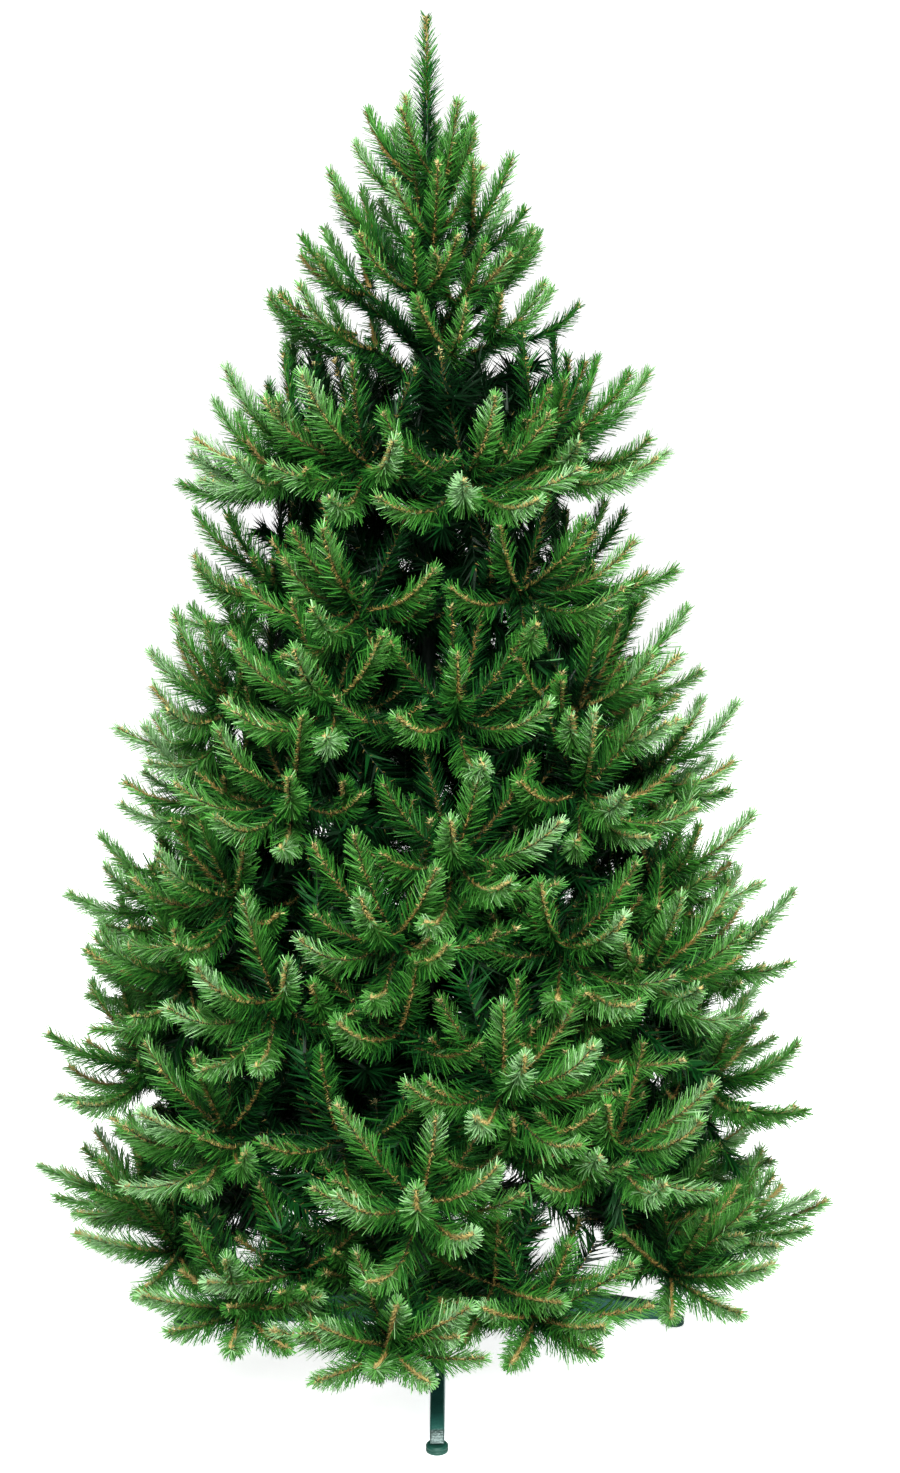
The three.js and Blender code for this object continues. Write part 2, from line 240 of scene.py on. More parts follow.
def node_mesh(name):
    """A node's points, with doubles merged, and its triangles."""
    mesh = NODES[name].data
    mesh.calc_loop_triangles()
    points = np.empty(3 * len(mesh.vertices))
    mesh.vertices.foreach_get("co", points)
    corners = np.empty(3 * len(mesh.loop_triangles), dtype=np.int64)
    mesh.loop_triangles.foreach_get("vertices", corners)
    points, index = np.unique(points.reshape(-1, 3).round(5), axis=0, return_inverse=True)
    return points, index.ravel()[corners].reshape(-1, 3)


def bough_ends(name):
    """Where a bough hooks into the pole and where it forks: the middles of its two end rings."""
    points, _ = node_mesh(name)
    reach = np.hypot(points[:, 0], points[:, 1])
    order = np.argsort(reach)
    ring = len(points) // 2
    return points[order[:ring]].mean(axis=0), points[order[-ring:]].mean(axis=0)


def sharp_points(name, sharpest=math.radians(212)):
    """A mass's tuft tips, and the way each points: a tip's face angles add up to far less than a turn,
    and it points away from the mean of its neighbours."""
    points, triangles = node_mesh(name)
    angle = np.zeros(len(points))
    around = np.zeros((len(points), 3))
    for corner in range(3):
        here = triangles[:, corner]
        first = points[triangles[:, (corner + 1) % 3]] - points[here]
        second = points[triangles[:, (corner + 2) % 3]] - points[here]
        cosine = (unit(first) * unit(second)).sum(axis=1)
        np.add.at(angle, here, np.arccos(np.clip(cosine, -1, 1)))
        np.add.at(around, here, first + second)
    sharp = angle < sharpest
    return points[sharp], unit(-around[sharp])


# ---- settings ----

def shade(name, default, description):
    """A colour setting."""
    return FloatVectorProperty(name=name, description=description, default=default, size=3, min=0.0, max=1.0,
                               subtype="COLOR")


def metres(name, default, description):
    """A length setting, in metres."""
    return FloatProperty(name=name, description=description, default=default, unit="LENGTH")


def degrees(name, default, description):
    """An angle setting, given in degrees."""
    return FloatProperty(name=name, description=description, default=math.radians(default), subtype="ANGLE")


def plain(name, default, description):
    """A setting without a unit."""
    return FloatProperty(name=name, description=description, default=default)


def whole(name, default, description):
    """A whole-number setting."""
    return IntProperty(name=name, description=description, default=default, min=0)


class SpruceCrownSettings(bpy.types.PropertyGroup):
    """How the tufts grow from the frame."""
    seed: whole("Seed", 7, "Start of every random choice")
    tuft: metres("Tuft length", 0.162, "Length of a tuft at a star")
    foot: metres("Foot", 0.19, "Height that no tuft's end goes below")
    # Above light_from, where light gets through the thin top, inner tufts get less painted shade.
    light_from: metres("Light from", 1.42, "Height above which inner tufts are light too")
    small_star: whole("Tufts in a side star", 6, "Tufts that end a lower bough's side twig")
    wide_below: metres("Side stars below", 0.62, "Boughs lower than this have side stars too")
    # Core tufts get dark tones: painted shade round the pole.
    core: whole("Core tufts", 120, "Dark tufts round the pole")
    low_core: whole("Low core", 56, "More of them behind the lowest boughs")
    star_size: whole("Tufts in a star", 10, "Tufts that leave the end of a twig")
    sag: plain("Sag", 0.19, "How far a level tuft hangs below its chord, by its length")
    side_every: metres("Side tuft spacing", 0.075, "Distance between pairs of side tufts")


class SpruceNeedleSettings(bpy.types.PropertyGroup):
    """The needles and their greens."""
    length: metres("Needle length", 0.0295, "Length in the middle of a tuft")
    width: metres("Needle width", 0.0017, "Width of a needle at its root")
    per_tuft: whole("Needles in a tuft", 440, "Needles of a full outer tuft")
    root_lean: degrees("Lean at the root", 52, "Angle from the spine at the tuft's root")
    tip_lean: degrees("Lean at the tip", 36, "Angle from the spine at the tuft's tip")
    blunt: plain("Blunt end", 0.5, "A needle's width at its end, of that at its root")
    bare: degrees("Bare face", 42, "Half of the angle left free over the spine")
    roughness: plain("Roughness", 0.45, "Roughness of the needles")
    sheen: plain("Specular level", 0.2, "Strength of the needles' highlights")
    # Deep green is painted shade: the colour of needles deep in the crown, where shade falls.
    deep: shade("Deep green", (0.001, 0.014, 0.003), "Needles deep inside the crown")
    # Pine green is partly a darker needle colour and partly painted shade at the tufts' roots.
    pine: shade("Pine green", (0.006, 0.060, 0.012), "Dark needles of every tuft")
    spruce: shade("Spruce green", (0.024, 0.128, 0.019), "The commonest needles")
    leaf: shade("Leaf green", (0.058, 0.210, 0.033), "Brighter needles")
    fresh: shade("Fresh green", (0.120, 0.290, 0.080), "Bright needles near the tips")
    # Pale green is a painted highlight: the palest needles stand for glints on lit tips.
    pale: shade("Pale green", (0.270, 0.440, 0.230), "The palest needles")


class SpruceFibreSettings(bpy.types.PropertyGroup):
    """The short brown fibres along each spine."""
    length: metres("Fibre length", 0.0069, "Length of a fibre")
    width: metres("Fibre width", 0.0020, "Width of a fibre at its root")
    per_tuft: whole("Fibres in a tuft", 250, "Fibres along one spine")
    # Fibres in tufts deep in the crown come out rust more often: painted shade through the tuft's light.
    rust: shade("Rust", (0.260, 0.185, 0.050), "The browner fibres")
    tan: shade("Tan", (0.430, 0.345, 0.140), "The paler fibres")
    tip: shade("Tip", (0.430, 0.370, 0.180), "The fibres round a tuft's blunt tip")


class SpruceWireSettings(bpy.types.PropertyGroup):
    """The wires of boughs, twigs and tufts."""
    bough: metres("Bough radius", 0.0036, "Radius of a bough's wire")
    twig: metres("Twig radius", 0.0022, "Radius of a twig's wire")
    spine: metres("Spine radius", 0.0011, "Radius of a tuft's twisted wire")
    color: shade("Wire", (0.006, 0.022, 0.009), "The wrapped wire")


class SpruceStandSettings(bpy.types.PropertyGroup):
    """The pole and the stand."""
    paint: shade("Stand paint", (0.023, 0.098, 0.083), "The stand's hammered paint")
    # The greyer, lighter green that the legs' steep ends take past the shoulder.
    bare: shade("Rubbed end", (0.050, 0.082, 0.076), "The paint at the legs' bent ends")
    pole: shade("Pole paint", (0.004, 0.018, 0.009), "The pole's paint")
    plastic: shade("Feet", (0.010, 0.060, 0.044), "The moulded feet")
    grip: shade("Grip", (0.012, 0.013, 0.013), "The screw's grip")
    corner: metres("Corner radius", 0.0026, "Rounding of the pressed legs")


class SpruceStageSettings(bpy.types.PropertyGroup):
    """Camera, floor and light."""
    lens: plain("Lens", 53.77, "Focal length on a 36 mm long side")
    place: FloatVectorProperty(name="Camera place", description="Where the camera stands",
                               default=(0.030, -2.923, 1.447), size=3, subtype="TRANSLATION", unit="LENGTH")
    pitch: degrees("Pitch", 11.39, "How far the camera looks down")
    floor: shade("Floor", (0.80, 0.80, 0.80), "The studio floor")
    glow: plain("Floor glow", 0.86, "Light that the floor gives off")
    daylight: plain("Daylight", 0.21, "Light from the white surroundings")
    backdrop: plain("Backdrop", 1.1, "The surroundings' own brightness")
    gamma: plain("Gamma", 0.83, "Below 1 the darks are deeper")


# ---- the crown's plan ----

NEEDLES_ON_BOUGH = 2200     # for each metre, as on the next three
NEEDLES_ON_TWIG = 2600
NEEDLES_ON_TOP_TWIG = 3200
NEEDLES_IN_CORE = 1300
COARSE = 1.9                # width of the needles inside the crown, by that of the outer ones
GOLDEN = math.pi * (3 - math.sqrt(5))

class Tufts:
    """Arcs with needles on them. Each has a start, a bend and an end, the direction its bare side faces,
    its needles' length, number and width, and how light and how brown it is. Its lightness is painted
    light: low for tufts deep inside the crown, where shade falls, and high at the edge."""

    def __init__(self):
        self.rows = []

    def add(self, start, end, sag, needle, count, light, brown=1.0, tip=1.0, coarse=1.0, face=None):
        chord = end - start
        length = np.linalg.norm(chord)
        hang = -UP + chord * (chord[2] / length ** 2)
        bend = (start + end) / 2 + 2 * sag * length * hang
        level = bend * LEVEL
        if np.linalg.norm(level) < 0.01:
            level = FRONT
        face = unit(unit(level) + 0.9 * UP) if face is None else face
        self.rows.append((*start, *bend, *end, *face, needle, count, light, brown, tip, coarse))

    def arrays(self):
        rows = np.array(self.rows)
        names = {"start": slice(0, 3), "bend": slice(3, 6), "end": slice(6, 9), "face": slice(9, 12),
                 "needle": 12, "count": 13, "light": 14, "brown": 15, "tip": 16, "coarse": 17}
        return {name: rows[:, part] for name, part in names.items()}


def star_centres(tips, ways, reach, near=0.1):
    """Groups tips that spring from one place: each tip is followed back by a tuft's length, and groups
    whose middles lie within `near` of each other are joined. Returns (centre, its tips) pairs."""
    stars = [([tip - way * reach], [tip]) for tip, way in zip(tips, ways)]
    while len(stars) > 1:
        middles = np.array([np.mean(roots, axis=0) for roots, _ in stars])
        gaps = np.linalg.norm(middles[:, None] - middles[None], axis=2) + np.eye(len(stars))
        first, second = np.unravel_index(gaps.argmin(), gaps.shape)
        if gaps[first, second] > near:
            break
        roots, ends = stars.pop(max(first, second))
        stars[min(first, second)][0].extend(roots)
        stars[min(first, second)][1].extend(ends)
    return [(np.mean(roots, axis=0), ends) for roots, ends in stars]


def open_ways(taken, facing, wanted, rng):
    """Further directions for a star, each the one of many that is furthest from all the ones before."""
    tries = unit(rng.normal(size=(400, 3)))
    tries = tries[tries @ facing > math.cos(math.radians(86))]
    tries[:, 2] = np.where(tries[:, 2] < 0, 0.35 * tries[:, 2], tries[:, 2]) + 0.15
    tries = unit(tries)
    ways = list(taken)
    while len(ways) < wanted:
        nearest = (tries @ np.array(ways).T).max(axis=1) if ways else -(tries @ facing)
        best = nearest.argmin()
        if nearest[best] > math.cos(math.radians(26)):
            break
        ways.append(tries[best])
    return ways[len(taken):]


def plan_crown(crown, needles):
    """All tufts and wires: stars at the tips of the masses, side tufts on the way to them, and the top."""
    rng = np.random.default_rng(crown.seed)
    tufts, wires = Tufts(), []
    reach = crown.tuft
    edge_height, edge_reach = crown_edge()
    tuft_foot = crown.foot
    crown_foot = tuft_foot + 0.02

    def painted_light_at(point):
        """Painted light: 0 deep inside the crown, where shade falls, 1 at its edge; the thin top, which light
        gets through, is light all through.
        """
        edge = np.interp(point[2], edge_height, edge_reach)
        inner = 0.75 * np.clip((point[2] - crown.light_from) / 0.15, 0, 1)
        return float(np.clip((np.hypot(point[0], point[1]) / edge - 0.42) / 0.45, inner, 1))

    def tuft(start, end, brown=1.0, size=1.0, light=None):
        # A tuft's light is painted light: lower deep in the crown, where shade falls.
        light = painted_light_at(end) if light is None else light
        end = np.array([end[0], end[1], max(end[2], tuft_foot)])
        length = np.linalg.norm(end - start)
        rise = (end[2] - start[2]) / length
        room = np.clip((min(start[2], end[2]) - tuft_foot) / 0.08, 0.25, 1)
        sag = crown.sag * room * (1 - 0.6 * rise) * rng.uniform(0.7, 1.25)
        count = needles.per_tuft * (0.6 + 0.4 * light) * length / reach
        tufts.add(start, end, sag, needles.length * size * rng.uniform(0.93, 1.06), count,
                  light + rng.normal(0, 0.09), brown)

    def inner_tuft(start, way):
        """A dark tuft of fewer and coarser needles, which closes the crown behind the stars; its dark tone is
        painted shade.
        """
        end = start + unit(way) * reach * rng.uniform(0.75, 1.05)
        end[2] = max(end[2], crown_foot)
        tufts.add(start, end, 0.08, needles.length * 1.2, needles.per_tuft * 0.36,
                  min(painted_light_at(end), 0.35) - 0.1, 0.15, 0.0, COARSE)

    def side_tufts(start, end, first, lift):
        """Pairs of shorter tufts on both sides of a wire, leaning forward and up."""
        along = unit(end - start)
        up, side = turned(along, UP)
        length = np.linalg.norm(end - start)
        for at in np.arange(first, length - 0.02, crown.side_every):
            for hand in (-1, 1):
                way = unit(along * rng.uniform(0.5, 0.8) + hand * side * rng.uniform(0.6, 1.0)
                           + up * rng.uniform(0.0, lift))
                root = start + along * (at + rng.uniform(-0.015, 0.015))
                tuft(root, root + way * reach * rng.uniform(0.62, 0.9), 0.9, 0.92)
            inner_tuft(start + along * at, along * 0.4 + side * rng.uniform(-0.5, 0.5)
                       + up * rng.choice([-0.8, 1.0]))

    def star(centre, taken, facing, size):
        """Tufts from one centre: those to the given ends, and others in the widest gaps between them."""
        for tip in taken:
            tuft(centre, tip - unit(tip - centre) * 0.012)
        for way in open_ways([unit(tip - centre) for tip in taken], facing, size, rng):
            tuft(centre, centre + way * reach * rng.uniform(0.78, 0.98))

    def twig(start, bend, end):
        """A wire from a fork to a star, with needles and side tufts."""
        wires.append((start, bend, end, "twig"))
        length = np.linalg.norm(end - start)
        # The twig's own needles get a dark tone: painted shade inside the crown.
        tufts.add(start, end, 0.0, needles.length * 0.8, NEEDLES_ON_TWIG * length, 0.15, 0.25, 0.0)
        side_tufts(start, end, 0.045, 0.6)

    for bough_name in BOUGH_NODES:
        hook, fork = bough_ends(bough_name)
        tips, ways = sharp_points(bough_name.replace("bough_", "foliage_"))
        out = unit(fork - hook)
        wires.append((hook - 0.003 * out, (hook + fork) / 2, fork, "bough"))
        # The bough's own needles get the darkest tone: painted shade deep in the crown.
        tufts.add(hook + (fork - hook) * 0.06, fork, 0.0, needles.length * 1.1,
                  NEEDLES_ON_BOUGH * np.linalg.norm(fork - hook), -0.05, 0.1, 0.0, 1.7)
        side_tufts(hook, fork, 0.05, 1.0)
        for centre, star_tips in star_centres(tips, ways, reach):
            twig(fork, fork + out * 0.5 * np.linalg.norm(centre - fork), centre)
            facing = unit(unit(centre * LEVEL) + 0.35 * UP)
            star(centre, star_tips, facing, crown.star_size)
            back, aside = turned(facing, UP)
            for angle in rng.uniform(0, 2 * math.pi, 3):
                inner_tuft(centre, -0.5 * facing + swung(back, aside, angle))
        if fork[2] < crown.wide_below:
            up, side = turned(out, UP)
            for hand in (-1, 1):
                way = unit(0.5 * out + 0.85 * hand * side + rng.uniform(0.1, 0.3) * UP)
                hub = fork + way * rng.uniform(0.12, 0.17)
                twig(fork, (fork + hub) / 2 - 0.01 * UP, hub)
                star(hub, [], unit(way + 0.5 * out + 0.3 * UP), crown.small_star)

    def core_tuft(height, rise):
        """A dark tuft from the pole outward; its dark tone is painted shade."""
        turn = rng.uniform(0, 2 * math.pi)
        way = np.array([math.cos(turn), math.sin(turn), rng.uniform(-0.1, rise)])
        span = rng.uniform(0.35, 0.60) * np.interp(height, edge_height, edge_reach)
        tufts.add(height * UP + 0.012 * way, height * UP + span * way, 0.04, needles.length * 1.25,
                  NEEDLES_IN_CORE * span, rng.uniform(-0.2, 0.1), 0.1, 0.0, COARSE)

    for _ in range(crown.core):
        core_tuft(crown_foot + 0.04 + (crown.light_from - 0.14 - crown_foot) * rng.random() ** 1.7, 0.5)
    plan_top(tufts, wires, tuft, reach, needles, rng)
    for height in np.linspace(crown_foot + 0.01, crown.wide_below - 0.2, crown.low_core):
        core_tuft(height, 0.1)
    return tufts.arrays(), wires


def crown_edge():
    """The crown's reach by height, through the furthest tips of the masses."""
    tips = np.concatenate([sharp_points(name)[0] for name in MASS_NODES])
    heights = np.linspace(tips[:, 2].min(), tips[:, 2].max(), 16)
    reach = np.hypot(tips[:, 0], tips[:, 1])
    half = heights[1] - heights[0]
    edge = [reach[np.abs(tips[:, 2] - height) <= half].max() for height in heights]
    return heights, np.maximum(edge, 0.05)


def plan_top(tufts, wires, tuft, reach, needles, rng):
    """The top: rising branches round the stem, each with a forked end, and the upright leader."""
    tips, ways = sharp_points(TOP_NODE)
    rising = (np.hypot(tips[:, 0], tips[:, 1]) > 0.03) & (ways[:, 2] > 0)
    for tip, way in zip(tips[rising], ways[rising]):
        length = np.hypot(tip[0], tip[1]) / np.hypot(way[0], way[1]) - 0.006
        root = tip - way * length
        start = tip - way * min(length, reach)
        tuft(start, tip - way * 0.012, 1.0, 0.86, rng.uniform(0.7, 1.0))
        if length > 0.9 * reach:
            wires.append((root, (root + start) / 2, start + way * 0.01, "twig"))
            # The twig's own needles get a darker tone: painted shade inside the top.
            tufts.add(root, start + way * 0.01, 0.0, needles.length * 0.8,
                      NEEDLES_ON_TOP_TWIG * np.linalg.norm(start - root) + 40, 0.35, 0.3, 0.0)
            up, side = turned(way, UP)
            at = tip - way * 0.75 * reach
            for hand in rng.permutation([-1, 1])[:rng.integers(1, 3)]:
                aside = unit(way + hand * side * rng.uniform(0.5, 0.8) + up * rng.uniform(-0.2, 0.3))
                tuft(at, at + aside * reach * rng.uniform(0.6, 0.75), 1.0, 0.84, rng.uniform(0.6, 0.95))
    stem = (POLE_TOP - 0.08) * UP
    tufts.add(stem, (TREE_TOP - 0.008) * UP, 0.0, needles.length * 0.84, 360, 0.52, 1.0)
    tufts.add(stem, stem + 0.12 * UP, 0.0, needles.length * 0.84, 190, 0.4, 0.0, 0.0, face=-FRONT)
    # The needles round the stem below get a dark tone: painted shade inside the top.
    tufts.add(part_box(TOP_NODE)[0][2] * UP, stem, 0.0, needles.length * 0.9, 1100, 0.2, 0.4, 0.0, face=-FRONT)


# ---- needles, fibres and wires as meshes ----

def on_arc(tufts, pick, s):
    """Point, direction and two square directions at s on each picked tuft's arc."""
    a, b, c = (tufts[name][pick] for name in ("start", "bend", "end"))
    s = s[:, None]
    along = arc_way(a, b, c, s)
    out, side = turned(along, tufts["face"][pick])
    return arc_point(a, b, c, s), along, out, side


def spread_along(counts, rng):
    """For each of many growths: the tuft it belongs to, its number there, and its place from 0 to 1."""
    counts = counts.astype(int)
    pick = np.repeat(np.arange(len(counts)), counts)
    order = np.arange(len(pick)) - np.repeat(np.cumsum(counts) - counts, counts)
    return pick, order, (order + rng.random(len(pick))) / counts[pick]


def needle_blades(tufts, settings, rng):
    """Needles as strips of four points. A needle leaves the spine at angle L(s), which falls from root to
    tip, and stands round it at any angle but those near the bare face. Lengths rise from the root, hold,
    and fall off round the tip. Tones run from dark at the root to light at the tip, partly the needles' own
    greens and partly painted shade at the roots, and come out lower for tufts deep in the crown: painted
    shade."""
    pick, order, s = spread_along(tufts["count"], rng)
    point, along, out, side = on_arc(tufts, pick, s)
    share = (order * GOLDEN / (2 * math.pi) + rng.normal(0, 0.05, len(pick))) % 1.0
    turn = settings.bare + share * 2 * (math.pi - settings.bare)
    radial = swung(out, side, turn)
    blunt = tufts["tip"][pick]
    lean = settings.root_lean + (settings.tip_lean - settings.root_lean) * s * blunt
    lean = lean + rng.normal(0, math.radians(7), len(pick))
    rise = np.clip(0.6 + 3.0 * s, 0, 1)
    fall = 1 - blunt * 0.58 * np.clip((s - 0.5) / 0.5, 0, 1) ** 1.5
    length = tufts["needle"][pick] * rise * fall * rng.normal(1.0, 0.08, len(pick))
    way = swung(along, radial, lean)
    flat = unit(np.cross(way, radial))
    edge = swung(flat, np.cross(way, flat), rng.uniform(-1.0, 1.0, len(pick)))
    half = 0.5 * settings.width * (tufts["coarse"][pick] * rng.uniform(0.8, 1.15, len(pick)))[:, None]
    root = point + radial * 0.0008
    tip = root + (way + along * rng.uniform(0.0, 0.1, len(pick))[:, None]) * length[:, None]
    blades = np.stack([root - edge * half, root + edge * half, tip + edge * half * settings.blunt,
                       tip - edge * half * settings.blunt], axis=1)
    grown = np.clip((s - 0.04) / 0.66, 0, 1)
    # Tone scales with the tuft's painted light and rises from root to tip, partly own colour and partly
    # painted shade at the roots; the highest tones, dealt the pale green, are painted highlights.
    tone_and_painted_light = tufts["light"][pick] * (0.22 + 0.86 * grown) + rng.normal(0, 0.13, len(pick))
    return blades, tone_and_painted_light


def pointed(strips):
    """The same needles with three points each: half as wide again at the root, and sharp."""
    root, tip = (strips[:, 0] + strips[:, 1]) / 2, (strips[:, 2] + strips[:, 3]) / 2
    half = 0.75 * (strips[:, 1] - strips[:, 0])
    return np.stack([root - half, root + half, tip], axis=1)


def fibre_blades(tufts, settings, rng):
    """Short three-cornered fibres round each spine, most of them on its bare face, and how pale each is."""
    share = tufts["brown"] * np.clip(0.3 + tufts["light"], 0.3, 1.0)
    pick, _, s = spread_along(settings.per_tuft * share, rng)
    point, along, out, side = on_arc(tufts, pick, s)
    turn = rng.normal(0, 0.85, len(pick))
    radial = swung(out, side, turn)
    lean = rng.normal(math.radians(66), 0.25, len(pick))
    way = swung(along, radial, lean)
    edge = unit(np.cross(way, radial + 0.3 * out)) * settings.width / 2
    length = settings.length * rng.uniform(0.6, 1.2, len(pick))[:, None]
    root = point + radial * 0.0009
    # Paleness follows the tuft's painted light, so fibres deep in the crown are darker (painted shade); it
    # also grows toward the tip and varies at random.
    paleness_and_painted_light = s * tufts["light"][pick] + rng.normal(0, 0.25, len(pick))
    return np.stack([root - edge, root + edge, root + way * length], axis=1), paleness_and_painted_light


def tip_blades(tufts, settings, rng, each=16):
    """The blunt tip: short pale fibres that burst forward from the spine's end."""
    ends = np.flatnonzero(tufts["tip"] > 0)
    pick = np.repeat(ends, each)
    point, along, out, side = on_arc(tufts, pick, rng.uniform(0.96, 1.0, len(pick)))
    turn = rng.uniform(0, 2 * np.pi, len(pick))
    radial = swung(out, side, turn)
    lean = np.arccos(rng.uniform(0.0, 1.0, len(pick)))
    way = swung(along, radial, lean)
    edge = unit(np.cross(way, out + 0.2 * side)) * settings.width * 0.55
    length = settings.length * rng.uniform(0.7, 1.2, len(pick))[:, None]
    return np.stack([point - edge, point + edge, point + way * length], axis=1)


def blade_part(blades):
    """Blades of k points each as one (points, faces) part."""
    count, corners, _ = blades.shape
    return blades.reshape(-1, 3), np.arange(count * corners).reshape(count, corners)


def wire_part(a, b, c, radius, steps, sides, taper):
    """Round wires along many arcs at once: a ring of `sides` points at each step, with a cap at each end,
    and the radius at the end `taper` times the one at the start."""
    s = np.linspace(0, 1, steps)[None, :, None]
    a, b, c = (np.asarray(points)[:, None, :] for points in (a, b, c))
    centre = arc_point(a, b, c, s)
    along = arc_way(a, b, c, s)
    steady = np.broadcast_to(unit(np.cross(a - c, UP) + 1e-6), along.shape)
    across, side = turned(along, steady)
    angle = 2 * np.pi * np.arange(sides) / sides
    ring = across[:, :, None] * np.cos(angle)[:, None] + side[:, :, None] * np.sin(angle)[:, None]
    size = radius * (1 - (1 - taper) * s[..., None])
    points = (centre[:, :, None] + ring * size).reshape(-1, 3)
    count = len(centre)
    base = (np.arange(count) * steps * sides)[:, None, None]
    faces = (grid_faces(steps, sides)[None] + base).reshape(-1, 4)
    first = np.arange(sides)[::-1][None] + base[:, 0]
    last = np.arange(sides)[None] + (steps - 1) * sides + base[:, 0]
    return points, faces, first, last


# ---- materials ----

def feed(tree, node, inputs):
    """Set a node's inputs: a socket is linked, and anything else is a plain value."""
    for name, value in inputs.items():
        if isinstance(value, bpy.types.NodeSocket):
            tree.links.new(value, node.inputs[name])
        else:
            node.inputs[name].default_value = value


def add_node(tree, kind, inputs, operation=None):
    """A new node with its operation and inputs set."""
    node = tree.nodes.new(kind)
    if operation:
        node.operation = operation
    feed(tree, node, inputs)
    return node


def new_material(name, color, roughness, metallic=0.0):
    """A material with a Principled shader whose plain values are set."""
    material = bpy.data.materials.new(name)
    material.use_nodes = True
    shader = material.node_tree.nodes["Principled BSDF"]
    plain_values = {"Base Color": (*color, 1.0), "Roughness": roughness, "Metallic": metallic}
    feed(material.node_tree, shader, plain_values)
    return material, shader


def grain_group():
    """Node group: fine cells over soft clouds. Clouds is a mask, Height is for a bump."""
    name = "Paint grain"
    if name in bpy.data.node_groups:
        return bpy.data.node_groups[name]
    group = bpy.data.node_groups.new(name, "ShaderNodeTree")
    for socket in ("Cell size", "Cloud size"):
        entry = group.interface.new_socket(name=socket, in_out="INPUT", socket_type="NodeSocketFloat")
        entry.min_value, entry.max_value = 0.0001, 1.0
    for socket in ("Clouds", "Height"):
        group.interface.new_socket(name=socket, in_out="OUTPUT", socket_type="NodeSocketFloat")
    start, end = group.nodes.new("NodeGroupInput"), group.nodes.new("NodeGroupOutput")
    place = group.nodes.new("ShaderNodeTexCoord").outputs["Object"]
    textures = []
    for kind, size in (("ShaderNodeTexVoronoi", "Cell size"), ("ShaderNodeTexNoise", "Cloud size")):
        scale = add_node(group, "ShaderNodeMath", {0: 1.0, 1: start.outputs[size]}, "DIVIDE")
        textures.append(add_node(group, kind, {"Vector": place, "Scale": scale.outputs[0]}))
    cells, clouds = textures
    clouds.inputs["Detail"].default_value = 4.0
    total = add_node(group, "ShaderNodeMath", {0: cells.outputs["Distance"], 1: clouds.outputs["Fac"]}, "ADD")
    feed(group, end, {"Clouds": clouds.outputs["Fac"], "Height": total.outputs[0]})
    return group


def beyond_reach(tree, near, far):
    """A mask from the distance to the tree's middle line, sqrt(x^2 + y^2): 0 up to `near`, 1 from `far`."""
    place = tree.nodes.new("ShaderNodeTexCoord")
    level = add_node(tree, "ShaderNodeVectorMath", {0: place.outputs["Object"], 1: LEVEL}, "MULTIPLY")
    reach = add_node(tree, "ShaderNodeVectorMath", {0: level.outputs["Vector"]}, "LENGTH")
    mask = add_node(tree, "ShaderNodeMapRange",
                    {"From Min": near, "From Max": far, "Value": reach.outputs["Value"]})
    return mask.outputs["Result"]


def mixed(tree, factor, first, second):
    """A colour mixed from two, each a colour or the output of a node."""
    mix = tree.nodes.new("ShaderNodeMix")
    mix.data_type = "RGBA"
    first, second = (color if isinstance(color, bpy.types.NodeSocket) else (*color, 1.0)
                     for color in (first, second))
    feed(tree, mix, {0: factor, 6: first, 7: second})
    return mix.outputs[2]


def grained(name, color, lift, cell, cloud, roughness, bump, metallic=0.0, outer_tint=None):
    """A painted or moulded material: the colour and the same colour times `lift` mixed by clouds, with
    roughness and bump from the grain. The last argument, if given, is (near, far, colour): from that reach
    on, the paint gives way to the colour."""
    material, shader = new_material(name, color, roughness, metallic)
    tree = material.node_tree
    grain = tree.nodes.new("ShaderNodeGroup")
    grain.node_tree = grain_group()
    feed(tree, grain, {"Cell size": cell, "Cloud size": cloud})
    clouds = grain.outputs["Clouds"]
    result = mixed(tree, clouds, color, [lift * part for part in color])
    if outer_tint is not None:
        near, far, bare = outer_tint
        result = mixed(tree, beyond_reach(tree, near, far), result, bare)
    rough = add_node(tree, "ShaderNodeMapRange",
                     {"To Min": roughness - 0.08, "To Max": roughness + 0.10, "Value": clouds})
    relief = add_node(tree, "ShaderNodeBump",
                      {"Strength": 1.0, "Distance": bump, "Height": grain.outputs["Height"]})
    feed(tree, shader, {"Base Color": result, "Roughness": rough.outputs["Result"],
                        "Normal": relief.outputs["Normal"]})
    return material


# ---- operators: crown ----

# Tones are dealt into greens: deep is painted shade inside the crown, pine partly painted shade at the roots,
# and pale a painted highlight on lit tips; spruce, leaf and fresh are the needles' own greens.
SHADES = ("deep", "pine", "spruce", "leaf", "fresh", "pale")
SHADE_EDGES = (0.12, 0.36, 0.60, 0.86, 1.08)    # tones at which one shade gives way to the next
FIRST_STRIP = 2                                 # darker shades than this have pointed needles
PIECE_LIMIT = 98000                             # needles in one piece


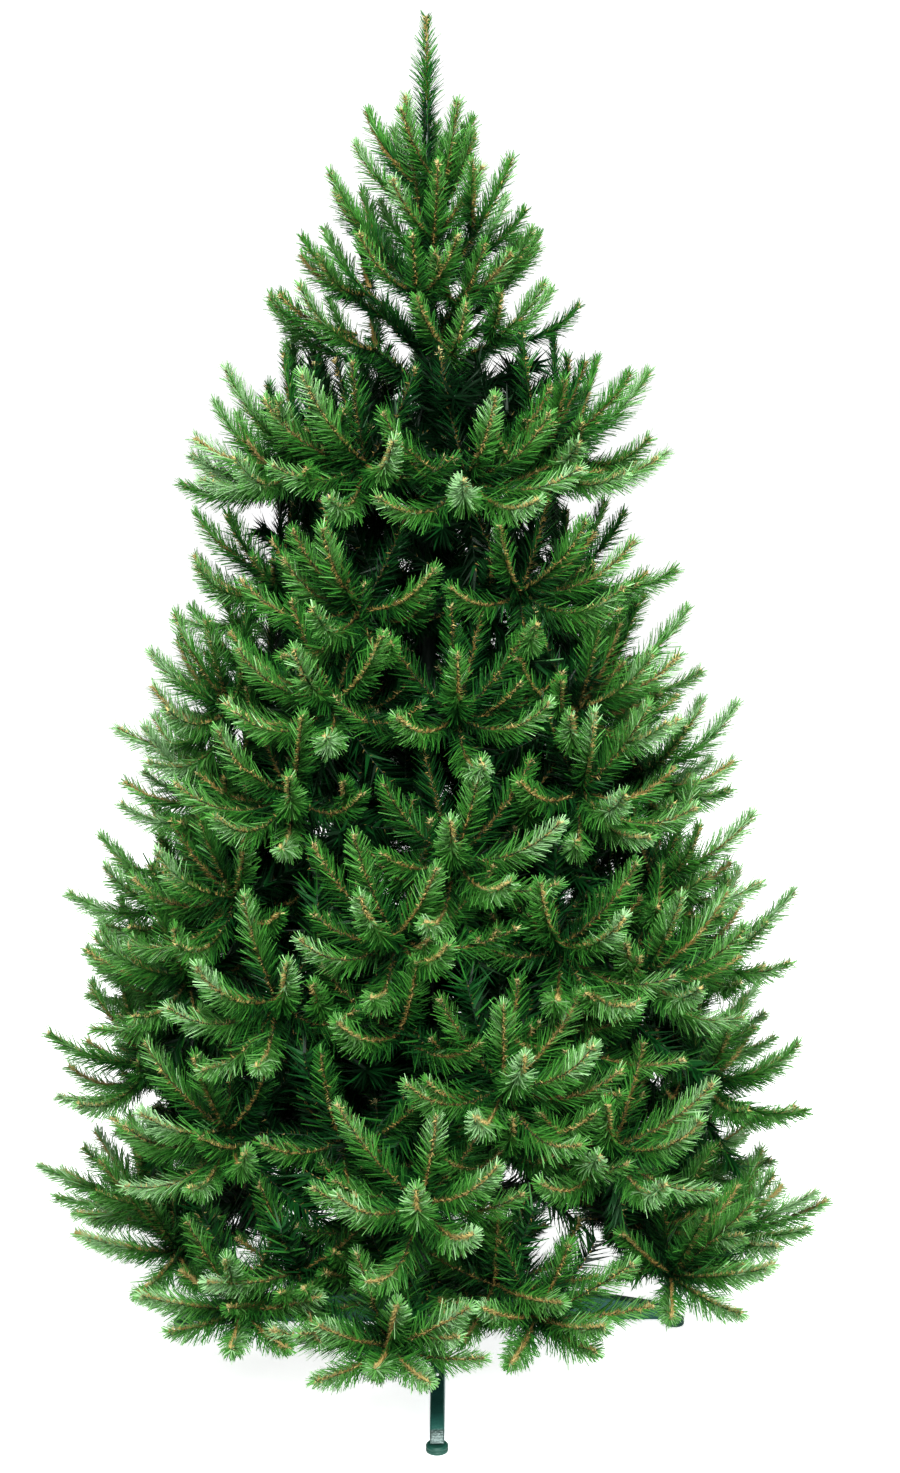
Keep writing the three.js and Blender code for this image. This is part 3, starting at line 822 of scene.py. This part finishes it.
class SPRUCE_OT_needles(bpy.types.Operator):
    """Grow the needles, one piece or more for each green"""
    bl_idname = "spruce.needles"
    bl_label = "Needles"

    def execute(self, context):
        crown, settings = context.scene.spruce_crown, context.scene.spruce_needles
        tufts, _ = plan_crown(crown, settings)
        blades, tone_and_painted_light = needle_blades(tufts, settings, np.random.default_rng(crown.seed + 1))
        shades = np.digitize(tone_and_painted_light, SHADE_EDGES)
        replaced = MASS_NODES
        for number, name in enumerate(SHADES):
            material, shader = new_material(f"needle_{name}", getattr(settings, name), settings.roughness)
            shader.inputs["Specular IOR Level"].default_value = settings.sheen
            mine = blades[shades == number]
            if number < FIRST_STRIP:
                mine = pointed(mine)
            for part, chosen in enumerate(np.array_split(mine, math.ceil(len(mine) / PIECE_LIMIT))):
                add_piece(f"needles_{name}_{part + 1}", [blade_part(chosen)], material, replaced,
                          smooth=False)
                replaced = ()
        print("tufts", len(tufts["count"]), "needles", len(blades), "by shade", np.bincount(shades))
        return {"FINISHED"}


class SPRUCE_OT_fibres(bpy.types.Operator):
    """Lay the short brown fibres along the spines and round the tips"""
    bl_idname = "spruce.fibres"
    bl_label = "Fibres"

    def execute(self, context):
        crown, settings = context.scene.spruce_crown, context.scene.spruce_fibres
        tufts, _ = plan_crown(crown, context.scene.spruce_needles)
        rng = np.random.default_rng(crown.seed + 2)
        blades, paleness_and_painted_light = fibre_blades(tufts, settings, rng)
        pale = paleness_and_painted_light > 0.5
        tips = tip_blades(tufts, settings, rng)
        for name, chosen in (("rust", blades[~pale]), ("tan", blades[pale]), ("tip", tips)):
            material, _ = new_material(f"fibre_{name}", getattr(settings, name), 0.7)
            add_piece(f"fibres_{name}", [blade_part(chosen)], material, smooth=False)
        return {"FINISHED"}


class SPRUCE_OT_wires(bpy.types.Operator):
    """Bend the wires of boughs, twigs and tuft spines"""
    bl_idname = "spruce.wires"
    bl_label = "Wires"

    def execute(self, context):
        crown, settings = context.scene.spruce_crown, context.scene.spruce_wires
        tufts, wires = plan_crown(crown, context.scene.spruce_needles)
        material = grained("wrapped_wire", settings.color, 2.0, 0.002, 0.01, 0.6, 0.0006)
        parts = []
        for kind, radius in (("bough", settings.bough), ("twig", settings.twig)):
            a, b, c = (np.array([wire[i] for wire in wires if wire[3] == kind]) for i in range(3))
            parts.append(wire_part(a, b, c, radius, 8, 8, 0.8))
        add_piece("bough_wires", parts, material, BOUGH_NODES)
        spines = wire_part(tufts["start"], tufts["bend"], tufts["end"], settings.spine, 6, 4, 0.7)
        add_piece("tuft_spines", [spines], material)
        return {"FINISHED"}


# ---- operators: pole and stand ----

POLE_STEPS = (0.547, 0.845)         # where the pole narrows, by its length
COLLAR = ((0.0106, 0.006), (0.0168, 0.006), (0.0168, 0.0045), (0.0145, 0.003))  # radius, half height
LEG_WIDTH = 0.018
LEG_WALL = 0.0016
LEG_DRAFT = 0.0012                  # how far each wall splays over LEG_DRAFT_DEPTH
LEG_DRAFT_DEPTH = 0.04
LEG_BEND = (0.245, 0.044)           # reach and height where the top line starts to fall
LEG_SHOULDER = (0.322, 0.0315)      # reach and height where it drops to the floor
SLOT = {"reach": 0.235, "length": 0.009, "width": 0.0035}
STAND_GRAIN = (1.7, 0.0026, 0.02, 0.36, 0.0003, 0.25)   # lift, cell, cloud, roughness, bump, metallic

class SPRUCE_OT_pole(bpy.types.Operator):
    """Raise the pole with the rings that the boughs hook into"""
    bl_idname = "spruce.pole"
    bl_label = "Pole"

    def execute(self, context):
        settings = context.scene.spruce_stand
        material = grained("pole_paint", settings.pole, 1.6, 0.004, 0.03, 0.42, 0.0002)
        foot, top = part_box("trunk")[0][2], POLE_TOP
        joint, stem = (foot + part * (top - foot) for part in POLE_STEPS)
        tube = rounded([(TINY, foot), (0.0125, foot), (0.0125, joint), (0.0108, joint + 0.004),
                        (0.0105, stem), (0.005, stem + 0.012), (0.004, top), (TINY, top)], 0.002)
        parts = [lathe(tube, 40)]
        heights = sorted({round(float(bough_ends(name)[0][2]), 4) for name in BOUGH_NODES})
        for height in heights:
            collar = [(radius, height - rise) for radius, rise in COLLAR]
            collar += [(radius, height + rise) for radius, rise in COLLAR[::-1]]
            parts.append(lathe(rounded(collar, 0.0006), 40))
        add_piece("pole", parts, material, ["trunk"])
        return {"FINISHED"}


def side_frame(side):
    """For one side of the stand: its quarter turn, and how far its leg stands off the middle."""
    turn = math.pi / 2 * SIDES.index(side)
    low, high = corners_of(f"leg_{side}")
    x, y, _ = (low + high) / 2
    return turn, x * math.cos(turn) + y * math.sin(turn)


def on_side(part, side):
    """A part made for the front, in the middle, set on its side of the stand."""
    points, *faces = part
    turn, aside = side_frame(side)
    x, y = points[:, 0] + aside, points[:, 1]
    points = np.column_stack([x * math.cos(turn) - y * math.sin(turn),
                              x * math.sin(turn) + y * math.cos(turn), points[:, 2]])
    return (points, *faces)


def leg_section(reach, top, bottom, corner):
    """One section of the pressed channel: up the outside, over the rounded top and back along the inside.
    The walls splay a little towards the floor."""
    half, wall = LEG_WIDTH / 2, LEG_WALL
    corner = min(corner, 0.7 * (top - bottom))
    angle = np.linspace(0, math.pi / 2, 6)
    over = np.column_stack([half - corner + corner * np.sin(angle), top - corner + corner * np.cos(angle)])
    outside = np.concatenate([[(-half, bottom)], over[::-1] * (-1, 1), over, [(half, bottom)]])
    roof = max(top - wall, bottom)
    inner = half - wall
    loop = np.concatenate([outside, [(inner, bottom), (inner, roof), (-inner, roof), (-inner, bottom)]])
    splay = 1 + LEG_DRAFT / half * (top - loop[:, 1]) / LEG_DRAFT_DEPTH
    return np.column_stack([loop[:, 0] * splay, np.full(len(loop), -reach), loop[:, 1]])


def leg_part(side, corner):
    """The leg: the channel's section carried along its rounded top line, steep at the end."""
    low, high = corners_of(f"leg_{side}")
    reaches = np.abs(np.concatenate([low[:2], high[:2]]))
    start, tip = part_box("leg_front")[1][1], reaches.max()
    line = rounded([(-start, high[2]), LEG_BEND, LEG_SHOULDER, (tip - 0.001, low[2] + LEG_WALL)], 0.008, 6)
    return loft([leg_section(reach, top, low[2], corner) for reach, top in line])


def cut(piece, tool_part):
    """Takes a solid out of a piece and leaves the result as the piece's own mesh."""
    points, faces = joined([tool_part])
    mesh = bpy.data.meshes.new("tool")
    mesh.from_pydata(points.tolist(), [], [face for array in faces for face in array.tolist()])
    tool = add_object("tool", mesh)
    modifier = piece.modifiers.new("slot", "BOOLEAN")
    modifier.operation = "DIFFERENCE"
    modifier.solver = "EXACT"
    modifier.object = tool
    evaluated = piece.evaluated_get(bpy.context.evaluated_depsgraph_get())
    result = bpy.data.meshes.new_from_object(evaluated)
    piece.modifiers.clear()
    piece.data = result
    bpy.data.objects.remove(tool)


def slot_tool():
    """A prism with round ends that goes down through the leg's top."""
    half, round_end = SLOT["length"] / 2, SLOT["width"] / 2
    end = circle(round_end, np.linspace(0, math.pi, 9), y=half - round_end)
    outline = np.concatenate([end, -end]) - (0, SLOT["reach"])
    return block(outline, [(1, LEG_BEND[1] - 0.008), (1, LEG_BEND[1] + 0.008)])


class SPRUCE_OT_legs(bpy.types.Operator):
    """Press the four legs of the stand"""
    bl_idname = "spruce.legs"
    bl_label = "Legs"

    def execute(self, context):
        settings = context.scene.spruce_stand
        # Past the shoulder the legs' steep ends take a greyer, lighter green.
        outer_tint = (LEG_SHOULDER[0] + 0.015, LEG_SHOULDER[0] + 0.018, settings.bare)
        material = grained("stand_paint", settings.paint, *STAND_GRAIN, outer_tint)
        for side in SIDES:
            leg = on_side(leg_part(side, settings.corner), side)
            piece = add_piece(f"stand_leg_{side}", [leg], material, [f"leg_{side}"])
            cut(piece, on_side(slot_tool(), side))
        return {"FINISHED"}


class SPRUCE_OT_feet(bpy.types.Operator):
    """Mould the four feet"""
    bl_idname = "spruce.feet"
    bl_label = "Feet"

    def execute(self, context):
        settings = context.scene.spruce_stand
        material = grained("foot_plastic", settings.plastic, 1.5, 0.0008, 0.006, 0.5, 0.00008)
        groove = 0.0007
        for side in SIDES:
            low, high = corners_of(f"foot_{side}")
            centre, radius, top = (low + high) / 2, (high[0] - low[0]) / 2, high[2]
            profile = rounded([(TINY, 0), (radius, 0), (radius, 0.0034), (radius - groove, 0.0040),
                               (radius - groove, 0.0046), (radius, 0.0052), (radius, top - 0.0025),
                               (radius - 0.0025, top), (0.006, top), (0.0056, top - 0.0006),
                               (TINY, top - 0.0006)], 0.0005)
            add_piece(f"stand_foot_{side}", [lathe(profile, 48, centre[:2])], material,
                      [f"foot_{side}"])
        return {"FINISHED"}


def square_outline(half, corner, steps=6):
    """A square with rounded corners."""
    arc = circle(corner, np.linspace(0, math.pi / 2, steps), half - corner, half - corner)
    quarter = np.array([[0, -1], [1, 0]])
    turns = [np.linalg.matrix_power(quarter, turn) for turn in range(4)]
    return np.concatenate([arc @ turn.T for turn in turns])


def hexagon(radius):
    """A six-cornered outline."""
    return circle(radius, math.pi / 3 * np.arange(6))


class SPRUCE_OT_socket(bpy.types.Operator):
    """Weld the socket and its plate, and bolt the legs to it"""
    bl_idname = "spruce.socket"
    bl_label = "Socket"

    def execute(self, context):
        settings = context.scene.spruce_stand
        material = grained("socket_paint", settings.paint, *STAND_GRAIN)
        low, high = corners_of("socket")
        half, bottom, rim = high[0], low[2], high[2]
        outer, inner, floor = 0.0173, 0.0130, bottom + 0.0045
        tube = rounded([(TINY, floor), (inner, floor), (inner, rim), (outer, rim), (outer, bottom + 0.003),
                        (outer + 0.002, bottom + 0.001), (TINY, bottom + 0.001)], 0.001, 5)
        plate = block(square_outline(half, 0.004), [(0.97, bottom), (1.0, bottom + 0.0007),
                                                    (1.0, bottom + 0.0023), (0.97, bottom + 0.003)])
        add_piece("stand_socket", [lathe(tube, 48), plate], material, ["socket"])
        steel, _ = new_material("bolt_steel", (0.42, 0.43, 0.42), 0.35, 0.9)
        head = block(hexagon(0.0055), [(0.92, 0.0), (1.0, 0.0006), (1.0, 0.003), (0.9, 0.0038)])
        parts = []
        for side in SIDES:
            for hand in (-1, 1):
                seat = np.array([hand * (LEG_WIDTH / 2 + 0.0010), -0.034, 0.030])
                parts.append(on_side(placed(head, seat, (hand, 0, 0)), side))
        add_piece("stand_bolts", parts, steel)
        return {"FINISHED"}


class SPRUCE_OT_screw(bpy.types.Operator):
    """Turn the clamp screw with its lobed grip"""
    bl_idname = "spruce.screw"
    bl_label = "Clamp screw"

    def execute(self, context):
        settings = context.scene.spruce_stand
        material = grained("grip_plastic", settings.grip, 2.0, 0.0007, 0.005, 0.45, 0.00006)
        points, _ = node_mesh("clamp_screw")
        axis = unit(points.mean(axis=0) * LEVEL)
        along = points @ axis
        height = (points[:, 2].min() + points[:, 2].max()) / 2 * UP
        end, start = along.max(), along.min()
        knob = end - 0.011
        steps = np.arange(start, knob, 0.0006)
        ridge = 0.0040 - 0.0005 * (np.arange(len(steps)) % 2)
        rod = lathe([(TINY, start), *zip(ridge, steps), (TINY, knob + 0.002)], 24)
        angle = np.linspace(0, 2 * math.pi, 72, endpoint=False)
        lobes = 0.0090 * (1 - 0.07 * (1 + np.cos(6 * angle)))
        grip = block(circle(lobes, angle), [(0.55, knob), (0.90, knob + 0.0006), (1.0, knob + 0.0022),
                                            (1.0, end - 0.0022), (0.92, end - 0.0007), (0.70, end)])
        add_piece("stand_clamp_screw", [placed(rod, height, axis), placed(grip, height, axis)], material,
                  ["clamp_screw"])
        return {"FINISHED"}


class SPRUCE_OT_stage(bpy.types.Operator):
    """Set the floor, the lights and the camera"""
    bl_idname = "spruce.stage"
    bl_label = "Stage"

    def execute(self, context):
        scene, settings = context.scene, context.scene.spruce_stage
        set_floor(settings)
        set_world(scene, settings)
        set_lights()
        set_camera(scene, settings)
        scene.view_settings.view_transform = "Standard"
        scene.view_settings.gamma = settings.gamma
        return {"FINISHED"}


WHITE = (1.0, 1.0, 1.0, 1.0)


def set_floor(settings):
    """A wide pale floor."""
    half = 40.0
    corners = [(-half, -half, 0), (half, -half, 0), (half, half, 0), (-half, half, 0)]
    mesh = bpy.data.meshes.new("floor")
    mesh.from_pydata(corners, [], [(0, 1, 2, 3)])
    material, shader = new_material("studio_floor", settings.floor, 0.6)
    feed(material.node_tree, shader, {"Emission Color": WHITE, "Emission Strength": settings.glow})
    mesh.materials.append(material)
    add_object("floor", mesh)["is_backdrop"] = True


def set_world(scene, settings):
    """White surroundings, brighter to the camera than the light they give."""
    world = bpy.data.worlds.new("white_room")
    world.use_nodes = True
    tree = world.node_tree
    rays = tree.nodes.new("ShaderNodeLightPath")
    strength = add_node(tree, "ShaderNodeMapRange", {"To Min": settings.daylight, "To Max": settings.backdrop,
                                                     "Value": rays.outputs["Is Camera Ray"]})
    feed(tree, tree.nodes["Background"], {"Color": WHITE, "Strength": strength.outputs["Result"]})
    scene.world = world


def set_lights():
    """Large soft lights, turned to the tree's middle: a key above the front, a fill and one at the back."""
    middle = TREE_TOP / 2
    lights = (("key", (0.0, -3.4, 3.1), 1.5, 330.0), ("fill", (1.6, -3.3, 2.0), 1.8, 50.0),
              ("rear", (0.4, 3.0, 3.2), 2.4, 55.0))
    for name, place, size, power in lights:
        data = bpy.data.lights.new(name, "AREA")
        data.shape = "DISK"
        data.size = size
        data.energy = power
        light = add_object(name, data)
        way = middle * UP - np.array(place)
        level = math.hypot(way[0], way[1])
        light.rotation_euler = (math.atan2(level, -way[2]), 0.0, math.atan2(-way[0], way[1]))
        light.location = place


def set_camera(scene, settings):
    """The camera, level from side to side."""
    data = bpy.data.cameras.new("camera")
    data.lens = settings.lens
    data.sensor_width = 36.0
    camera = add_object("camera", data)
    camera.location = settings.place
    camera.rotation_euler = (math.pi / 2 - settings.pitch, 0.0, 0.0)
    scene.camera = camera


# ---- add-on ----

class SPRUCE_PT_panel(bpy.types.Panel):
    """Lists the spruce's pieces"""
    bl_idname = "SPRUCE_PT_panel"
    bl_label = "Spruce"
    bl_space_type = "VIEW_3D"
    bl_region_type = "UI"
    bl_category = "Spruce"

    def draw(self, context):
        for operator in OPERATORS:
            self.layout.operator(operator.bl_idname)


OPERATORS = (SPRUCE_OT_needles, SPRUCE_OT_fibres, SPRUCE_OT_wires, SPRUCE_OT_pole, SPRUCE_OT_legs,
             SPRUCE_OT_feet, SPRUCE_OT_socket, SPRUCE_OT_screw, SPRUCE_OT_stage)
SETTINGS = {
    "spruce_crown": SpruceCrownSettings,
    "spruce_needles": SpruceNeedleSettings,
    "spruce_fibres": SpruceFibreSettings,
    "spruce_wires": SpruceWireSettings,
    "spruce_stand": SpruceStandSettings,
    "spruce_stage": SpruceStageSettings,
}


def register():
    """Register the settings, the operators and the panel."""
    for name, group in SETTINGS.items():
        bpy.utils.register_class(group)
        setattr(bpy.types.Scene, name, PointerProperty(type=group))
    for operator in OPERATORS:
        bpy.utils.register_class(operator)
    bpy.utils.register_class(SPRUCE_PT_panel)


def unregister():
    """Take the panel, the operators and the settings away again."""
    bpy.utils.unregister_class(SPRUCE_PT_panel)
    for operator in reversed(OPERATORS):
        bpy.utils.unregister_class(operator)
    for name, group in SETTINGS.items():
        delattr(bpy.types.Scene, name)
        bpy.utils.unregister_class(group)


def main():
    """Build every piece in order."""
    register()
    for operator in OPERATORS:
        group, name = operator.bl_idname.split(".")
        getattr(getattr(bpy.ops, group), name)()
    sizes = {"cad": FRAME_BOUNDS, "visual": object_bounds()}
    {name: np.array(box).tolist() for name, box in sizes.items()}


if __name__ == "__main__":
    main()
